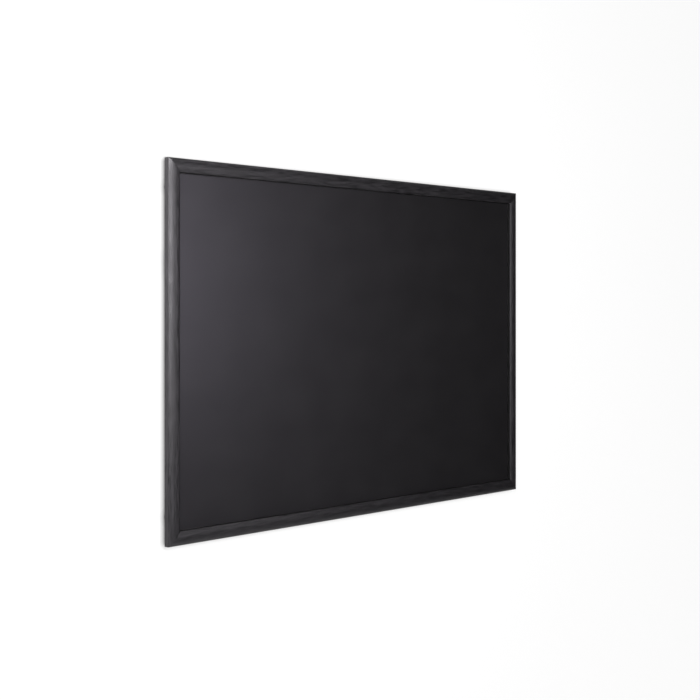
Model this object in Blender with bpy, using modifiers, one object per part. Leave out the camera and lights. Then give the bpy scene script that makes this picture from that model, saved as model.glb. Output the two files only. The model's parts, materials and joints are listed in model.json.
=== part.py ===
# Framed wall chalkboard, hung landscape: mitred black mouldings round a lacquered hardboard panel.
# Metres, +Z up, writing side towards -Y. The origin is the middle of the board, on the wall plane.

import math

import bmesh
import bpy
from mathutils import Matrix, Vector

# Overall size, over the outer sides of the frame
board_width = 0.900
board_height = 0.600

# Moulding section. Insets run inward from the outer side, heights run forward from the back
side_height = 0.0091
shoulder_inset = 0.0216
shoulder_height = 0.0117
crown_rise = 0.0036
inner_wall_lean = 0.0003
lip_thickness = 0.0009
quirk_width = 0.0009
bead_width = 0.0007
bead_height = 0.0009
arris_round = 0.0007
shoulder_round = 0.0013
bead_round = 0.0003
back_edge_round = 0.0004
lip_overlap = 0.0060

# Writing panel and the flat steel points that hold it in the rebate
panel_thickness = 0.0030
panel_edge_gap = 0.0006
panel_edge_chamfer = 0.0003
point_setback = 0.0009
point_thickness = 0.0005
point_width = 0.0090
point_length = 0.0150
point_bite = 0.0060
point_tip_length = 0.0040
point_tail_round = 0.0012
points_per_rail = 4
points_per_stile = 3

# V-shaped corner nails, driven from the back across each mitre
nails_per_corner = 2
nail_leg_length = 0.0042
nail_half_angle = math.radians(55)
nail_thickness = 0.0005
nail_height = 0.0070
nail_sink = 0.0004

# Strap hanger with its swinging ring, one on the back of each stile
hanger_drop = 0.150
strap_width = 0.0090
strap_length = 0.0340
strap_thickness = 0.0007
strap_curl = math.radians(285)
ring_wire_radius = 0.0009
ring_side_clearance = 0.0010
ring_leg_length = 0.0045
ring_corner_round = 0.0012

# Hanger screws
screws_per_strap = 2
screw_shank_radius = 0.0013
screw_length = 0.0090
screw_point_length = 0.0025
screw_head_radius = 0.0027
screw_head_height = 0.0015
screw_spacing = 0.0095
screw_slot_reach = 0.0015
screw_slot_width = 0.0006
screw_slot_depth = 0.0008

# Pads that hold the board off the wall
pad_radius = 0.0060
pad_edge_round = 0.0010
pad_corner_distance = 0.045
wall_clearance = 0.0004

# Fits
fit = 0.0003
cutter_overrun = 0.0020

# Facets
arc_step = math.radians(7.5)
strap_curl_step = math.radians(15)
wire_resolution = 4
turned_steps = 24
curved_facet_width = 0.0018

# Worked out from the sizes above
rebate_depth = point_setback + point_thickness + fit + panel_thickness + fit
quirk_floor = rebate_depth + lip_thickness
wall_foot_inset = shoulder_inset + inner_wall_lean
bead_inset = wall_foot_inset + quirk_width
sight_inset = bead_inset + bead_width
rebate_inset = sight_inset - lip_overlap
ring_inner_half_width = strap_width / 2 + ring_side_clearance
ring_half_width = ring_inner_half_width + ring_wire_radius
barrel_radius = ring_wire_radius + fit + strap_thickness / 2
ring_axis_height = fit + strap_thickness + fit + ring_wire_radius
hanger_height = ring_axis_height + barrel_radius + strap_thickness / 2
pad_thickness = hanger_height + wall_clearance - fit
frame_back = -(pad_thickness + fit)
hanger_inset = rebate_inset / 2
ring_axis_z = board_height / 2 - hanger_drop


def clear_scene():
    for thing in list(bpy.data.objects):
        bpy.data.objects.remove(thing, do_unlink=True)


def new_collection(name):
    made = bpy.data.collections.new(name)
    bpy.context.scene.collection.children.link(made)
    return made


def make_material(name, colour, roughness, metallic=0.0):
    made = bpy.data.materials.new(name)
    made.use_nodes = True
    shader = made.node_tree.nodes["Principled BSDF"]
    shader.inputs["Base Color"].default_value = (*colour, 1)
    shader.inputs["Roughness"].default_value = roughness
    shader.inputs["Metallic"].default_value = metallic
    made.diffuse_color = (*colour, 1)
    return made


# Outlines

def rounded(corners):
    """The outline through (x, y, radius) corners, each turned into an arc that its sides have room for."""
    points = []
    for i, (x, y, radius) in enumerate(corners):
        corner = Vector((x, y))
        before = Vector(corners[i - 1][:2]) - corner
        after = Vector(corners[(i + 1) % len(corners)][:2]) - corner
        turn = math.pi - before.angle(after)
        room = 0.45 * min(before.length, after.length)
        reach = min(radius * math.tan(turn / 2), room)
        if reach < 1e-6:
            points.append(corner)
            continue
        radius = reach / math.tan(turn / 2)
        bisector = (before.normalized() + after.normalized()).normalized()
        centre = corner + bisector * (radius / math.cos(turn / 2))
        start = corner + before.normalized() * reach - centre
        side = 1 if before.cross(after) < 0 else -1
        steps = max(2, math.ceil(turn / arc_step))
        for k in range(steps + 1):
            spin = Matrix.Rotation(side * turn * k / steps, 2)
            points.append(centre + spin @ start)
    return points


def crown_points():
    """The shallow arc over the face of the moulding, from the outer arris to the inner shoulder, ends left out."""
    start = Vector((0, side_height))
    end = Vector((shoulder_inset, shoulder_height))
    chord = end - start
    radius = (chord.length ** 2 / 4 + crown_rise ** 2) / (2 * crown_rise)
    upward = Vector((-chord.y, chord.x)).normalized()
    centre = (start + end) / 2 + upward * (crown_rise - radius)
    sweep = 2 * math.asin(min(1, chord.length / 2 / radius))
    steps = max(6, math.ceil(sweep / (arc_step / 2)))
    spins = [Matrix.Rotation(-sweep * k / steps, 2) for k in range(1, steps)]
    return [centre + spin @ (start - centre) for spin in spins]


def moulding_outline():
    corners = [(0, 0, back_edge_round), (0, side_height, arris_round)]
    corners += [(p.x, p.y, 0) for p in crown_points()]
    corners += [
        (shoulder_inset, shoulder_height, shoulder_round),
        (wall_foot_inset, quirk_floor, 0),
        (bead_inset, quirk_floor, 0),
        (bead_inset, quirk_floor + bead_height, bead_round),
        (sight_inset, quirk_floor + bead_height, bead_round),
        (sight_inset, rebate_depth, 0),
        (rebate_inset, rebate_depth, 0),
        (rebate_inset, 0, 0),
    ]
    return rounded(corners)


def point_outline(margin=0.0):
    """Flat steel point, tip up. y = 0 is the wall of the rebate."""
    half = point_width / 2 + margin
    tip = point_bite + margin
    tail = point_bite - point_length - margin
    waist = point_bite - point_tip_length + margin
    corners = [
        (-half, tail, point_tail_round),
        (half, tail, point_tail_round),
        (half, waist, 0),
        (0, tip + margin, 0),
        (-half, waist, 0),
    ]
    return rounded(corners)


def nail_outline(margin=0.0):
    """V-nail from its edge, with its apex up and its legs lying across the mitre."""
    half = nail_thickness / 2 + margin
    length = nail_leg_length + margin
    along = Vector((math.sin(nail_half_angle), -math.cos(nail_half_angle)))
    across = Vector((along.y, -along.x))
    apex = half / math.sin(nail_half_angle)
    right_inner = along * length + across * half
    right_outer = along * length - across * half
    right = [Vector((0, -apex)), right_inner, right_outer, Vector((0, apex))]
    left = [Vector((-p.x, p.y)) for p in (right_outer, right_inner)]
    return right + left


def strap_outline():
    """Plan of the strap, square over the barrel and round at its lower end."""
    half = strap_width / 2
    corners = [
        (-half, barrel_radius + cutter_overrun, 0),
        (-half, -strap_length, half),
        (half, -strap_length, half),
        (half, barrel_radius + cutter_overrun, 0),
    ]
    return rounded(corners)


def ring_line():
    """Middle line of the D-shaped wire ring, hanging below its straight bar."""
    half = ring_half_width
    ends = [(-half, 0, ring_corner_round), (half, 0, ring_corner_round)]
    line = rounded([(-half, -ring_leg_length, 0), *ends, (half, -ring_leg_length, 0)])
    steps = math.ceil(math.pi / arc_step)
    for k in range(1, steps):
        angle = -math.pi * k / steps
        line.append(Vector((half * math.cos(angle), -ring_leg_length + half * math.sin(angle))))
    return line


# Solids

def weld(mesh):
    work = bmesh.new()
    work.from_mesh(mesh)
    bmesh.ops.remove_doubles(work, verts=work.verts, dist=1e-6)
    bmesh.ops.recalc_face_normals(work, faces=work.faces)
    work.to_mesh(mesh)
    work.free()


def shade(mesh, largest=math.inf):
    """Smooth over the curved faces, and flat on the faces that are larger than that area."""
    mesh.shade_smooth()
    mesh.set_sharp_from_angle(angle=math.radians(32))
    for face in mesh.polygons:
        face.use_smooth = face.area < largest


def add_object(name, mesh, home, material=None):
    made = bpy.data.objects.new(name, mesh)
    home.objects.link(made)
    if material:
        mesh.materials.append(material)
    return made


def add_cutter(name, mesh):
    made = add_object(name, mesh, cutters)
    made.hide_render = True
    made.display_type = "WIRE"
    return made


def mesh_of_curve(curve):
    """The mesh that a curve makes, with its caps welded on. The curve is removed."""
    helper = bpy.data.objects.new("curve_helper", curve)
    bpy.context.scene.collection.objects.link(helper)
    graph = bpy.context.evaluated_depsgraph_get()
    mesh = bpy.data.meshes.new_from_object(helper.evaluated_get(graph))
    bpy.data.objects.remove(helper, do_unlink=True)
    bpy.data.curves.remove(curve)
    weld(mesh)
    return mesh


def poly_curve(points, dimensions):
    curve = bpy.data.curves.new("outline", "CURVE")
    curve.dimensions = dimensions
    spline = curve.splines.new("POLY")
    spline.points.add(len(points) - 1)
    for place, point in zip(spline.points, points):
        place.co = (point[0], point[1], 0, 1)
    spline.use_cyclic_u = True
    return curve


def slab(points, thickness):
    """A flat outline of that thickness, its middle on the plane of the outline."""
    curve = poly_curve(points, "2D")
    curve.fill_mode = "BOTH"
    curve.extrude = thickness / 2
    return mesh_of_curve(curve)


def turned(name, profile, home, material=None):
    """A turned piece. The profile of (radius, height) points runs from the top of the axis to its foot."""
    mesh = bpy.data.meshes.new(name)
    places = [(radius, 0, height) for radius, height in profile]
    mesh.from_pydata(places, [(i, i + 1) for i in range(len(places) - 1)], [])
    made = add_object(name, mesh, home, material)
    turn = made.modifiers.new("turn", "SCREW")
    turn.steps = turned_steps
    turn.render_steps = turned_steps
    turn.use_merge_vertices = True
    turn.merge_threshold = 1e-6
    turn.use_smooth_shade = True
    return made


def cut(thing, cutter):
    made = thing.modifiers.new("cut_" + cutter.name, "BOOLEAN")
    made.operation = "DIFFERENCE"
    made.solver = "EXACT"
    made.object = cutter


def empty(name, location, turn):
    made = bpy.data.objects.new(name, None)
    made.location = location
    made.rotation_euler = (0, turn, 0)
    parts.objects.link(made)
    return made


def place(thing, parent, location, rotation=(0, 0, 0)):
    thing.parent = parent
    thing.location = location
    thing.rotation_euler = rotation


# Faces a piece of flat outline to the wall: outline x stays x, and outline y becomes z
facing = (math.pi / 2, 0, 0)


# Frame

def moulding_mesh(length):
    """Stock of the moulding, sawn to 45 degrees at both ends. Its outer side lies on z = 0."""
    mesh = slab(moulding_outline(), length + 2 * cutter_overrun)
    mesh.transform(Matrix(((0, 0, -1, 0), (0, -1, 0, 0), (-1, 0, 0, 0), (0, 0, 0, 1))))
    work = bmesh.new()
    work.from_mesh(mesh)
    for end in (-1, 1):
        outward = Vector((end, 0, -1)).normalized()
        # Inward of the outer side, the saw line runs towards the middle of the stock
        corner = Vector((end * length / 2, 0, 0)) - outward * fit / 2
        sawn = bmesh.ops.bisect_plane(
            work,
            geom=work.verts[:] + work.edges[:] + work.faces[:],
            dist=1e-7,
            plane_co=corner,
            plane_no=outward,
            clear_outer=True,
        )
        rim = [g for g in sawn["geom_cut"] if isinstance(g, bmesh.types.BMEdge)]
        bmesh.ops.contextual_create(work, geom=rim)
    bmesh.ops.recalc_face_normals(work, faces=work.faces)
    work.to_mesh(mesh)
    work.free()
    shade(mesh, curved_facet_width * length)
    return mesh


def make_frame():
    """The four mouldings, each on an empty whose +Z runs outward from the middle of the board."""
    for name, turn, length, reach in sides:
        side = empty("side_" + name, (0, frame_back, 0), turn)
        moulding = add_object(name, moulding_mesh(length), parts, black_wood)
        place(moulding, side, (0, 0, reach))
        frame[name] = moulding
        side_empties[name] = side


def make_corner_nails():
    bite = nail_height + nail_sink
    for corner, turn, members in corners:
        reach_x = board_width / 2 * (1 if "right" in corner else -1)
        reach_z = board_height / 2 * (1 if "top" in corner else -1)
        mitre = empty("mitre_" + corner, (reach_x, frame_back, reach_z), turn)
        for k in range(nails_per_corner):
            inset = rebate_inset * (k + 1) / (nails_per_corner + 1) * math.sqrt(2)
            name = f"corner_nail_{corner}_{k + 1}"
            nail = add_object(name, slab(nail_outline(), nail_height), parts, zinc_steel)
            place(nail, mitre, (0, -nail_sink - nail_height / 2, -inset), facing)
            pocket = add_cutter("pocket_" + name, slab(nail_outline(fit), bite + fit + cutter_overrun))
            place(pocket, mitre, (0, (cutter_overrun - bite - fit) / 2, -inset), facing)
            for member in members:
                cut(frame[member], pocket)


# Panel and what holds it

def make_panel():
    size_x = board_width - 2 * (rebate_inset + panel_edge_gap)
    size_z = board_height - 2 * (rebate_inset + panel_edge_gap)
    work = bmesh.new()
    bmesh.ops.create_cube(work, size=1)
    bmesh.ops.scale(work, vec=(size_x, panel_thickness, size_z), verts=work.verts)
    mesh = bpy.data.meshes.new("writing_panel")
    work.to_mesh(mesh)
    work.free()
    panel = add_object("writing_panel", mesh, parts, chalk_lacquer)
    front = rebate_depth - fit
    panel.location = (0, frame_back - front + panel_thickness / 2, 0)
    chamfer = panel.modifiers.new("chamfer", "BEVEL")
    chamfer.width = panel_edge_chamfer
    chamfer.segments = 1


def make_points():
    """Points driven into the wall of the rebate, lying just behind the panel."""
    height = point_setback + point_thickness / 2
    for name, turn, length, reach in sides:
        count = points_per_rail if name in ("top_rail", "bottom_rail") else points_per_stile
        pitch = (length - 2 * rebate_inset) / count
        for k in range(count):
            along = pitch * (k - (count - 1) / 2)
            label = f"{name.split('_')[0]}_{k + 1}"
            seat = (along, -height, reach - rebate_inset)
            blade = slab(point_outline(), point_thickness)
            point = add_object("framers_point_" + label, blade, parts, zinc_steel)
            place(point, side_empties[name], seat, facing)
            pocket = slab(point_outline(fit), point_thickness + 2 * fit)
            slit = add_cutter("slit_" + label, pocket)
            place(slit, side_empties[name], seat, facing)
            cut(frame[name], slit)


# Hanging hardware

def strap_mesh():
    """Side view of the strap, from its lower end up and round the bar of the ring, as wide as the strap."""
    line = [Vector((-strap_length, ring_axis_height - barrel_radius))]
    steps = math.ceil(strap_curl / strap_curl_step)
    for k in range(steps + 1):
        angle = -math.pi / 2 + strap_curl * k / steps
        line.append(Vector((barrel_radius * math.cos(angle), ring_axis_height + barrel_radius * math.sin(angle))))
    work = bmesh.new()
    rows = []
    for x in (-strap_width / 2 - cutter_overrun, strap_width / 2 + cutter_overrun):
        rows.append([work.verts.new((x, p.y, p.x)) for p in line])
    edges = [work.edges.new(pair) for row in rows for pair in zip(row, row[1:])]
    bmesh.ops.bridge_loops(work, edges=edges)
    mesh = bpy.data.meshes.new("strap")
    work.to_mesh(mesh)
    work.free()
    shade(mesh, strap_width * barrel_radius)
    return mesh


def screw_profile():
    """Pan-head wood screw, point down, with the underside of its head at height 0."""
    head, shank = screw_head_radius, screw_shank_radius
    dome = []
    steps = 5
    for k in range(steps + 1):
        angle = math.pi / 2 * k / steps
        dome.append((head * math.sin(angle), screw_head_height * (0.45 + 0.55 * math.cos(angle))))
    return dome + [(head, 0), (shank, 0), (shank, screw_point_length - screw_length), (0, -screw_length)]


def cross_outline():
    reach, half = screw_slot_reach, screw_slot_width / 2
    quarter = [(half, half), (half, reach), (-half, reach)]
    turns = [Matrix.Rotation(math.pi / 2 * k, 2) for k in range(4)]
    return [turn @ Vector(p) for turn in turns for p in quarter]


def make_hanger(side, x):
    """One strap hanger on the back of a stile. Its empty lies on the joint axis of the ring."""
    axis_y = frame_back + ring_axis_height
    hinge = empty(f"{side}_hanger_axis", (x, axis_y, ring_axis_z), 0)
    strap = add_object(f"{side}_hanger_strap", strap_mesh(), parts, zinc_steel)
    place(strap, hinge, (0, -ring_axis_height, 0))
    thicken = strap.modifiers.new("sheet", "SOLIDIFY")
    thicken.thickness = strap_thickness
    thicken.offset = 0
    thicken.use_even_offset = True
    blank = add_cutter(f"{side}_strap_plan", slab(strap_outline(), 4 * hanger_height))
    place(blank, hinge, (0, 0, 0), facing)
    trim = strap.modifiers.new("plan", "BOOLEAN")
    trim.operation = "INTERSECT"
    trim.solver = "EXACT"
    trim.object = blank

    stile = frame[f"{side}_stile"]
    seat = 2 * fit + strap_thickness
    hole_radius = screw_shank_radius + fit
    pilot_depth = screw_length - seat + fit
    last = -strap_length + strap_width / 2
    for k in range(screws_per_strap):
        drop = last + screw_spacing * k
        name = f"{side}_hanger_screw_{screws_per_strap - k}"
        screw = turned(name, screw_profile(), parts, zinc_steel)
        place(screw, hinge, (0, seat - ring_axis_height, drop), (-math.pi / 2, 0, 0))
        recess = slab(cross_outline(), 2 * screw_slot_depth)
        cross = add_cutter("cross_" + name, recess)
        place(cross, hinge, (0, seat - ring_axis_height + screw_head_height, drop), facing)
        cut(screw, cross)
        top = seat + cutter_overrun
        drill_profile = [(0, top), (hole_radius, top), (hole_radius, -pilot_depth), (0, -pilot_depth - hole_radius)]
        drill = turned("drill_" + name, drill_profile, cutters)
        drill.hide_render = True
        drill.display_type = "WIRE"
        place(drill, hinge, (0, -ring_axis_height, drop), (-math.pi / 2, 0, 0))
        cut(strap, drill)
        cut(stile, drill)

    wire = poly_curve(ring_line(), "3D")
    wire.bevel_depth = ring_wire_radius
    wire.bevel_resolution = wire_resolution
    ring_mesh = mesh_of_curve(wire)
    shade(ring_mesh)
    ring = add_object(f"{side}_hanger_ring", ring_mesh, parts, zinc_steel)
    place(ring, hinge, (0, 0, 0), facing)


def make_pads():
    """Round pads near the corners, one flat face on the stile and the other on the wall."""
    reach = board_height / 2 - pad_corner_distance
    r, edge, depth = pad_radius, pad_edge_round, pad_thickness
    rim = [(r - edge * (1 - math.cos(a)), depth - edge * (1 - math.sin(a))) for a in (math.pi / 2, math.pi / 4, 0)]
    profile = [(0, depth), *rim, (r, 0), (0, 0)]
    for side, x in stile_middles:
        for level, z in (("upper", reach), ("lower", -reach)):
            pad = turned(f"wall_pad_{level}_{side}", profile, parts, pad_rubber)
            pad.location = (x, frame_back + fit, z)
            pad.rotation_euler = (-math.pi / 2, 0, 0)


clear_scene()
parts = new_collection("Chalkboard")
cutters = new_collection("Cutters")
black_wood = make_material("Black stained pine", (0.012, 0.012, 0.013), 0.45)
chalk_lacquer = make_material("Matt black chalk lacquer", (0.020, 0.020, 0.022), 0.55)
zinc_steel = make_material("Zinc plated steel", (0.62, 0.63, 0.65), 0.35, 1.0)
pad_rubber = make_material("Black rubber", (0.020, 0.020, 0.020), 0.80)

# Name, turn about Y, length and distance from the middle of the board
sides = (
    ("top_rail", 0.0, board_width, board_height / 2),
    ("right_stile", math.pi / 2, board_height, board_width / 2),
    ("bottom_rail", math.pi, board_width, board_height / 2),
    ("left_stile", -math.pi / 2, board_height, board_width / 2),
)
corners = (
    ("top_right", math.radians(45), ("top_rail", "right_stile")),
    ("bottom_right", math.radians(135), ("bottom_rail", "right_stile")),
    ("bottom_left", math.radians(225), ("bottom_rail", "left_stile")),
    ("top_left", math.radians(315), ("top_rail", "left_stile")),
)
stile_middles = (("left", hanger_inset - board_width / 2), ("right", board_width / 2 - hanger_inset))
frame = {}
side_empties = {}

make_frame()
make_corner_nails()
make_panel()
make_points()
for side_name, middle in stile_middles:
    make_hanger(side_name, middle)
make_pads()
bpy.context.view_layer.update()
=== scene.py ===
import json
import math

import bmesh
import bpy
from mathutils import Matrix, Vector, noise


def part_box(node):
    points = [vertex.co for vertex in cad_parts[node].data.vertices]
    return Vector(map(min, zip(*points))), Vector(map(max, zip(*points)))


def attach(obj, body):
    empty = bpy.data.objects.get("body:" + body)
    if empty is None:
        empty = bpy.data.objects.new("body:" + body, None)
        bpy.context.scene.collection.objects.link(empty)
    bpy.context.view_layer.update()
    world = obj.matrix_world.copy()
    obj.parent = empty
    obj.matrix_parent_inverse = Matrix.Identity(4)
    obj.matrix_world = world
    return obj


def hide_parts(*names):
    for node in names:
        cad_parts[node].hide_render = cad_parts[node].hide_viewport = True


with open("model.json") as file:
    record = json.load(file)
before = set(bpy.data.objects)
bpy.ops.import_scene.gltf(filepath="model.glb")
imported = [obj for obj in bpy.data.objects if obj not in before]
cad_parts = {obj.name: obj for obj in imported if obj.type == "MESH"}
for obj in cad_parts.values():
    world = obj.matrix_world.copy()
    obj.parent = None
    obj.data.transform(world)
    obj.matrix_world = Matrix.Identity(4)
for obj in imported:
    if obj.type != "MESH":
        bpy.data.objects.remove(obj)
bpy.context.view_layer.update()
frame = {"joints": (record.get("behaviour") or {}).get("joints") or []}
mm = 0.001
print("frame loaded")


# colours and node helpers

def linearColour(hexCode):
    # sRGB hex to the linear values that the shader wants
    parts = [int(hexCode[i:i + 2], 16) / 255 for i in (1, 3, 5)]
    return tuple(c / 12.92 if c <= 0.04045 else ((c + 0.055) / 1.055) ** 2.4 for c in parts) + (1.0,)


def newMaterial(name):
    made = bpy.data.materials.new(name)
    made.use_nodes = True
    made.node_tree.nodes.clear()
    return made, made.node_tree


def addNode(tree, kind, inputs=None, stops=None, **settings):
    # inputs take values, sockets, or nodes whose first output is meant; stops belong to a colour ramp
    made = tree.nodes.new("ShaderNode" + kind)
    for key, value in settings.items():
        setattr(made, key, value)
    for key, value in (inputs or {}).items():
        if isinstance(value, bpy.types.Node):
            value = value.outputs[0]
        if isinstance(value, bpy.types.NodeSocket):
            tree.links.new(value, made.inputs[key])
        else:
            made.inputs[key].default_value = value
    for k, (position, value) in enumerate(stops or []):
        line = made.color_ramp.elements
        stop = line[k] if k < len(line) else line.new(position)
        stop.position = position
        stop.color = linearColour(value) if isinstance(value, str) else (value, value, value, 1)
    return made


def perMm(x, y, z):
    # a Mapping node's scale that makes one turn of a noise this many mm long in X, Y and Z
    return [1 / (mm * x), 1 / (mm * y), 1 / (mm * z)]


# materials

woodFinish = {
    "stain": "#0a090b", "stainLight": "#272528", "poreBlack": "#0a0a0b", "rubbedEdge": "#353334",
    "rawPine": "#8c6b45", "thinStain": "#3a2c20", "darkBack": "#1e1915",
    "roughness": 0.54, "tint": "#fbf8fd", "grainDepth": 0.07, "poreDepth": 0.07, "streakDepth": 0.2,
}


def makeStainedPine():
    # Pine moulding, planed to its shape, black water stain under a thin satin lacquer. To the eye that is
    # a near black with a soft highlight that long grain breaks up, pores that stay open and edges that are
    # rubbed a little paler; the back took less stain, so brown wood shows through
    w = woodFinish
    made, tree = newMaterial("Black stained pine")
    place = addNode(tree, "TexCoord").outputs["Object"]
    plank = addNode(tree, "Attribute", attribute_name="plank").outputs["Fac"]
    bare = addNode(tree, "Attribute", attribute_name="bareWood").outputs["Fac"]
    wear = addNode(tree, "Attribute", attribute_name="edgeWear").outputs["Fac"]
    # real pine grain is 0.5 to 1.5 mm apart; a picture's pixel is 2 mm, so the streaks are drawn 2 mm apart
    streakPlace = addNode(tree, "Mapping", {"Vector": place, "Scale": perMm(24, 2, 2)})
    streaks = addNode(tree, "TexNoise", {"Vector": streakPlace, "W": plank, "Scale": 1, "Detail": 4,
                                         "Roughness": 0.62, "Distortion": 0.2}, noise_dimensions="4D")
    grainPlace = addNode(tree, "Mapping", {"Vector": place, "Scale": perMm(38, 0.7, 0.7)})
    grain = addNode(tree, "TexNoise", {"Vector": grainPlace, "W": plank, "Scale": 1, "Detail": 4,
                                       "Roughness": 0.6}, noise_dimensions="4D")
    porePlace = addNode(tree, "Mapping", {"Vector": place, "Scale": perMm(9, 0.28, 0.28)})
    pores = addNode(tree, "TexNoise", {"Vector": porePlace, "W": plank, "Scale": 1, "Detail": 2},
                    noise_dimensions="4D")
    openPores = addNode(tree, "ValToRGB", {"Fac": pores}, [(0.58, 0.0), (0.68, 1.0)])
    blotchPlace = addNode(tree, "Mapping", {"Vector": place, "Scale": perMm(26, 7, 7)})
    blotches = addNode(tree, "TexNoise", {"Vector": blotchPlace, "W": plank, "Scale": 1, "Detail": 3},
                       noise_dimensions="4D")
    # colour: stain, darker in the pores, rubbed along the edges, thin on the back
    stained = addNode(tree, "ValToRGB", {"Fac": streaks}, [(0.40, w["stain"]), (0.62, w["stainLight"])])
    poreShare = addNode(tree, "Math", {0: openPores, 1: 0.5}, operation="MULTIPLY")
    pored = addNode(tree, "Mix", {0: poreShare, 6: stained, 7: linearColour(w["poreBlack"])}, data_type="RGBA")
    rubbed = addNode(tree, "ValToRGB", {"Fac": blotches}, [(0.42, 0.0), (0.70, 0.5)])
    rubShare = addNode(tree, "Math", {0: wear, 1: rubbed}, operation="MULTIPLY")
    worn = addNode(tree, "Mix", {0: rubShare, 6: pored.outputs[2], 7: linearColour(w["rubbedEdge"])},
                   data_type="RGBA")
    reverse = addNode(tree, "ValToRGB", {"Fac": grain},
                      [(0.25, w["darkBack"]), (0.55, w["thinStain"]), (0.85, w["rawPine"])])
    thinStain = addNode(tree, "ValToRGB", {"Fac": blotches}, [(0.25, 0.35), (0.75, 0.95)])
    thinShare = addNode(tree, "Math", {0: bare, 1: thinStain}, operation="MULTIPLY")
    colour = addNode(tree, "Mix", {0: thinShare, 6: worn.outputs[2], 7: reverse}, data_type="RGBA")
    # gloss: satin lacquer that sank in more along some streaks, none on the back
    patches = addNode(tree, "Math", {0: streaks, 1: 0.6, 2: 0.0}, operation="MULTIPLY_ADD")
    uneven = addNode(tree, "Math", {0: blotches, 1: 0.4, 2: patches}, operation="MULTIPLY_ADD")
    satin = addNode(tree, "ValToRGB", {"Fac": uneven},
                    [(0.38, w["roughness"] - 0.12), (0.62, w["roughness"] + 0.12)])
    gloss = addNode(tree, "Mix", {0: bare, 6: satin, 7: (0.78, 0.78, 0.78, 1)}, data_type="RGBA")
    # relief: raised grain and open pores
    raised = addNode(tree, "Bump", {"Height": grain, "Distance": w["grainDepth"] * mm, "Strength": 0.6})
    broad = addNode(tree, "Bump", {"Height": streaks, "Distance": w["streakDepth"] * mm, "Strength": 0.9,
                                   "Normal": raised})
    relief = addNode(tree, "Bump", {"Height": openPores, "Distance": w["poreDepth"] * mm, "Strength": 0.5,
                                    "Normal": broad}, invert=True)
    shader = addNode(tree, "BsdfPrincipled", {
        "Base Color": colour.outputs[2], "Roughness": gloss.outputs[2], "Normal": relief, "IOR": 1.5,
        "Specular Tint": linearColour(w["tint"])})
    addNode(tree, "OutputMaterial", {"Surface": shader})
    return made


# colours, gloss and reflection of the painted shade in the quirk
quirkShadeFinish = {"shadeBlack": "#060606", "thin": "#0c0b0c", "roughness": 0.8, "specular": 0.12, "fibreDepth": 0.06}


def makeQuirkPaintedShade():
    # Painted shade: the same pine in the quirk and on the walls beside the panel is drawn near black, dead matt
    # and with weak reflection, so that the seam beside the panel reads as shade
    q = quirkShadeFinish
    made, tree = newMaterial("Painted shade in the quirk")
    place = addNode(tree, "TexCoord").outputs["Object"]
    fibrePlace = addNode(tree, "Mapping", {"Vector": place, "Scale": perMm(20, 0.7, 0.7)})
    fibres = addNode(tree, "TexNoise", {"Vector": fibrePlace, "Scale": 1, "Detail": 4, "Roughness": 0.6})
    # painted shade: near black in the quirk, a little lighter along the fibres
    colour = addNode(tree, "ValToRGB", {"Fac": fibres}, [(0.35, q["shadeBlack"]), (0.65, q["thin"])])
    gloss = addNode(tree, "ValToRGB", {"Fac": fibres},
                    [(0.3, q["roughness"] - 0.05), (0.7, q["roughness"] + 0.05)])
    relief = addNode(tree, "Bump", {"Height": fibres, "Distance": q["fibreDepth"] * mm, "Strength": 0.6})
    shader = addNode(tree, "BsdfPrincipled", {"Base Color": colour, "Roughness": gloss, "Normal": relief,
                                              "IOR": 1.5, "Specular IOR Level": q["specular"]})
    addNode(tree, "OutputMaterial", {"Surface": shader})
    return made


panelFinish = {"lacquer": "#1b1a1b", "lacquerLight": "#1f1e1f", "roughness": 0.39, "tint": "#f0e8ff",
               "peelDepth": 0.010, "gritDepth": 0.010}


def makeChalkLacquer():
    # Hardboard front, sprayed with chalk lacquer: matt black, dead flat, so that a window draws one wide
    # soft sheen across it; very fine grit that takes the chalk, and a trace of the spray's orange peel
    p = panelFinish
    made, tree = newMaterial("Matt chalk lacquer")
    place = addNode(tree, "TexCoord").outputs["Object"]
    # the real grit is about 0.05 mm; it is drawn at 0.35 mm, or no picture would show it
    gritPlace = addNode(tree, "Mapping", {"Vector": place, "Scale": perMm(0.35, 0.35, 0.35)})
    grit = addNode(tree, "TexNoise", {"Vector": gritPlace, "Scale": 1, "Detail": 2, "Roughness": 0.6})
    peelPlace = addNode(tree, "Mapping", {"Vector": place, "Scale": perMm(3.2, 3.2, 3.2)})
    peel = addNode(tree, "TexNoise", {"Vector": peelPlace, "Scale": 1, "Detail": 3, "Roughness": 0.5})
    cloudPlace = addNode(tree, "Mapping", {"Vector": place, "Scale": perMm(90, 90, 60)})
    clouds = addNode(tree, "TexNoise", {"Vector": cloudPlace, "Scale": 1, "Detail": 3, "Roughness": 0.5})
    colour = addNode(tree, "ValToRGB", {"Fac": clouds}, [(0.3, p["lacquer"]), (0.7, p["lacquerLight"])])
    mixed = addNode(tree, "Mix", {0: 0.4, 2: clouds, 3: peel})
    gloss = addNode(tree, "ValToRGB", {"Fac": mixed},
                    [(0.3, p["roughness"] - 0.008), (0.7, p["roughness"] + 0.008)])
    waves = addNode(tree, "Bump", {"Height": peel, "Distance": p["peelDepth"] * mm, "Strength": 0.5})
    relief = addNode(tree, "Bump", {"Height": grit, "Distance": p["gritDepth"] * mm, "Strength": 0.5,
                                    "Normal": waves})
    shader = addNode(tree, "BsdfPrincipled", {"Base Color": colour, "Roughness": gloss, "Normal": relief,
                                              "IOR": 1.5, "Specular Tint": linearColour(p["tint"])})
    addNode(tree, "OutputMaterial", {"Surface": shader})
    return made


hardboardFinish = {"brown": "#5d4027", "brownLight": "#7b5837", "fibre": "#3e2a19", "screenTop": "#8c6943",
                   "screenMm": 1.3, "screenDepth": 0.12, "fibreDepth": 0.05}


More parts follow.
